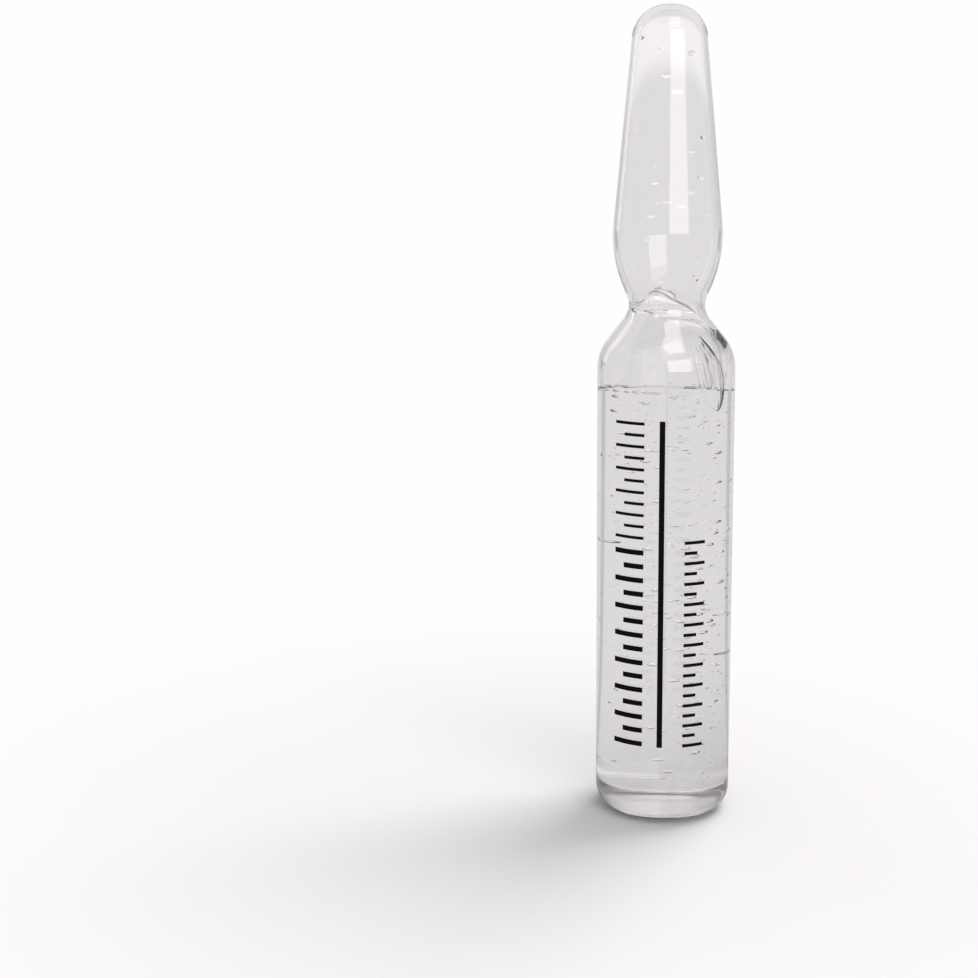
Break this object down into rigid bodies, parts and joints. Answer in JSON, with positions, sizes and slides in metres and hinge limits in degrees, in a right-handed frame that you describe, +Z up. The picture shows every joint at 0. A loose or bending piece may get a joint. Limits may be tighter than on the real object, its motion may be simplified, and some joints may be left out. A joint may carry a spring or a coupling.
{
  "type": "glass ampoule",
  "caption": "Sealed clear glass ampoule standing on its flat base: straight body, drawn neck and domed stem, filled with a clear serum and printed with a plain scale.",
  "frame": {"origin": "centre of the flat base, on the surface that the ampoule stands on", "axes": "+Z up the axis of the glass, -Y towards the printed rule, +X to the right of the rule"},
  "size_m": [0.0108, 0.0108, 0.0635],
  "materials": {
    "clear_glass": "polished clear glass",
    "clear_serum": "clear wet gel",
    "ink": "fired black ink"
  },
  "bodies": {
    "root": {"glass_ampoule": "clear_glass", "serum": "clear_serum", "serum_drops": "clear_serum", "print_marks": "ink"}
  },
  "joints": []
}
